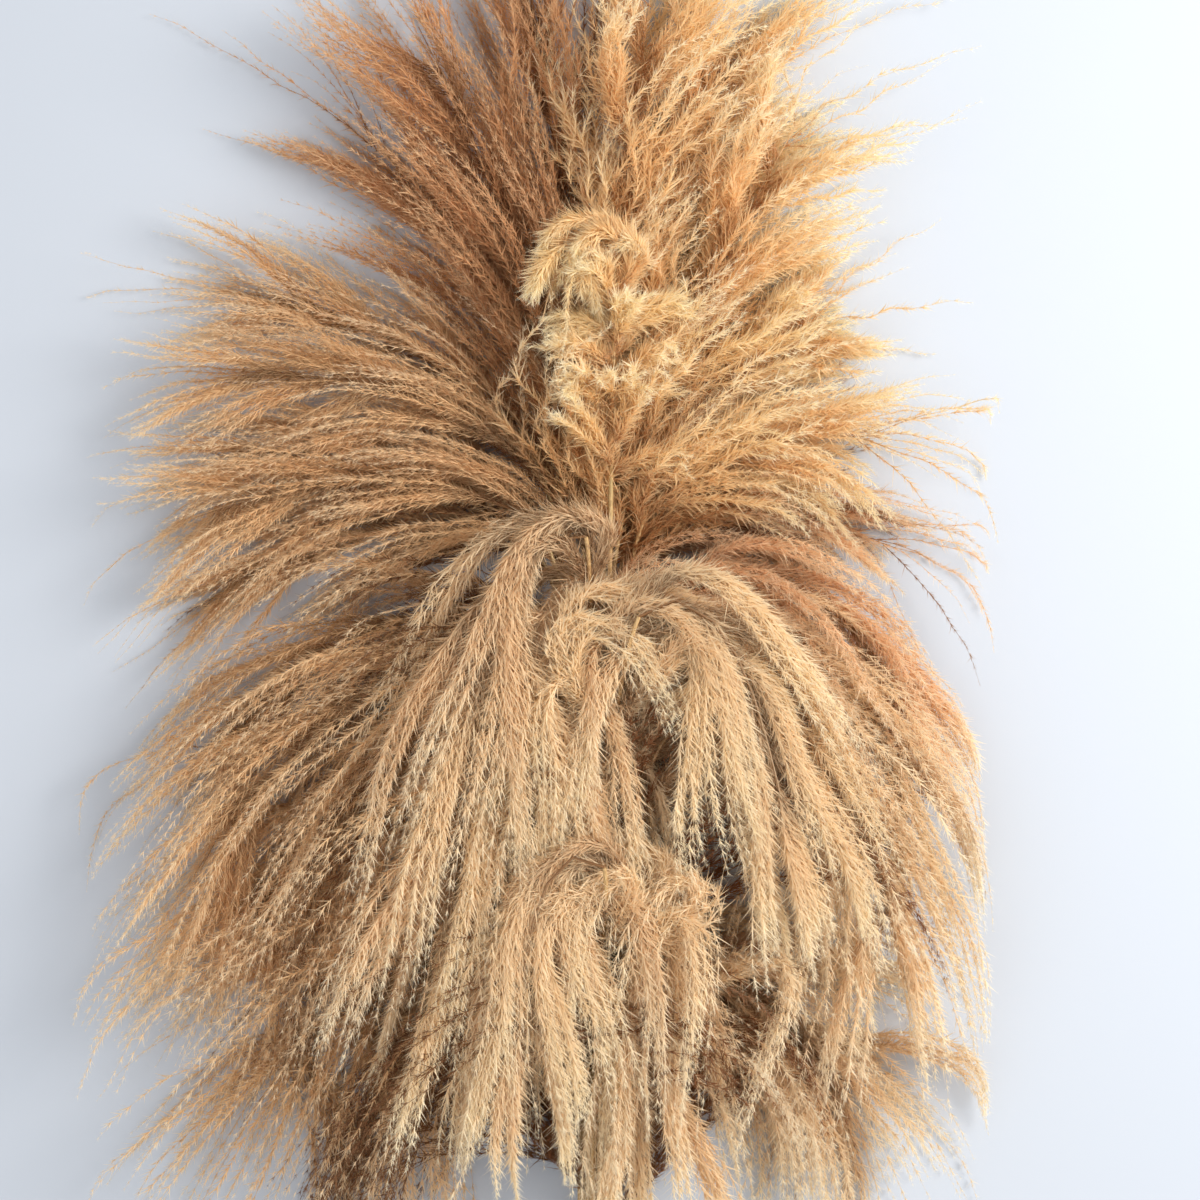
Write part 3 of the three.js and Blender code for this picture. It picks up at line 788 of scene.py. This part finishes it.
def juteMaterial():
    material = bpy.data.materials.new("juteTwine")
    material.use_nodes = True
    tree = material.node_tree
    shader = tree.nodes["Principled BSDF"]
    shader.inputs["Roughness"].default_value = 0.9
    shader.inputs["Specular IOR Level"].default_value = 0.15
    place = addNode(tree, "ShaderNodeTexCoord")
    fibres = addNode(tree, "ShaderNodeTexNoise", {"Vector": place.outputs["Object"], "Scale": 1400.0,
                                                  "Detail": 3.0})
    patches = addNode(tree, "ShaderNodeTexNoise", {"Vector": place.outputs["Object"], "Scale": 60.0,
                                                   "Detail": 2.0})
    mask = mathNode(tree, "MULTIPLY_ADD", fibres.outputs[0], 0.6,
                    mathNode(tree, "MULTIPLY", patches.outputs[0], 0.4))
    colour = mixColours(tree, smoothStep(tree, mask, 0.35, 0.65), straight(*jute[1]), straight(*jute[0]))
    tree.links.new(colour, shader.inputs["Base Color"])
    bump = addNode(tree, "ShaderNodeBump", {"Height": fibres.outputs[0], "Distance": 0.0003, "Strength": 0.8})
    tree.links.new(bump.outputs[0], shader.inputs["Normal"])
    return material


def plyPaths(path):  # the plies that twist round one path
    run = np.append(0, np.cumsum(np.linalg.norm(np.diff(path, axis=0), axis=1)))
    tangent = unit(np.gradient(path, axis=0))
    side = unit(np.cross(tangent, (0.05, 1, 0.02)))
    up = np.cross(side, tangent)
    for ply in range(twine["plies"]):
        angle = (twine["twist"] * 2 * math.pi * run + ply * 2 * math.pi / twine["plies"])[:, None]
        yield path + (side * np.cos(angle) + up * np.sin(angle)) * twine["ply"] * twine["nest"]


def tieRoutes():  # the winding round the sheaf, then the knot's two loops and its tails on the top
    middle = np.array([0, tieHeight, sheafMiddle / 1000]) + cutEnds
    reach = sheafReach / 1000 + 2 * twine["ply"] - twine["sink"]
    count = int(twine["turns"] * twine["stepsPerTurn"])
    t = np.linspace(0, twine["turns"], count)
    angle = 2 * math.pi * t + math.pi / 2
    pitch = twine["pitch"] * twine["ply"]
    winding = middle + np.stack([reach * np.cos(angle), pitch * (t - twine["turns"] / 2),
                                 reach * np.sin(angle)], -1)
    yield winding
    top = middle + np.array([0, 0, reach + twine["lift"] * twine["ply"]])
    width = twine["knotWidth"]
    s = np.linspace(0, 1, knot["steps"])
    for hand in (1, -1):
        loop = 2 * math.pi * s
        weave = np.sin(2 * loop + (0 if hand > 0 else math.pi))
        ring = np.stack([hand * (width * knot["shift"] - width * np.cos(loop) * knot["wide"]),
                         width * knot["tall"] * np.sin(loop), knot["rise"] + knot["weave"] * weave], -1)
        yield top + ring
        tail = twine["tail"] * s
        drop = np.stack([hand * (tailShape["start"] + tail * tailShape["out"]),
                         hand * tailShape["aside"] + tailShape["bend"] * np.sin(3 * s) * hand,
                         tailShape["rise"] + tailShape["wave"] * np.sin(5 * s)], -1)
        route = top + drop
        away = np.abs(route[:, 0] - middle[0])
        around = reach + tailShape["clear"]
        sheaf = np.sqrt(np.maximum(around ** 2 - np.minimum(away, around - 0.0001) ** 2, 0))
        hang = middle[2] + sheaf
        route[:, 2] = np.maximum(np.minimum(route[:, 2], hang + tailShape["over"]), tailShape["lowest"])
        yield route


def addTie():
    points, edges = [], []
    for route in tieRoutes():
        for ply in plyPaths(route):
            first = len(points)
            points += [tuple(p) for p in ply]
            edges += [(first + i, first + i + 1) for i in range(len(ply) - 1)]
    mesh = bpy.data.meshes.new("juteTie")
    mesh.from_pydata(points, edges, [])
    radii = np.full(len(points), twine["ply"], np.float32)
    mesh.attributes.new("twig", "FLOAT", "POINT").data.foreach_set("value", radii)
    piece = bpy.data.objects.new("juteTie", mesh)
    bpy.context.scene.collection.objects.link(piece)
    modifier = piece.modifiers.new("plies", "NODES")
    modifier.node_group = swept
    setInput(modifier, "Sides", twine["sides"])
    setInput(modifier, "Material", juteMaterial())
    harden(piece)
    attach(piece, "root")
    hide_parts("twine_tie")


addTie()
print("twine tie done")
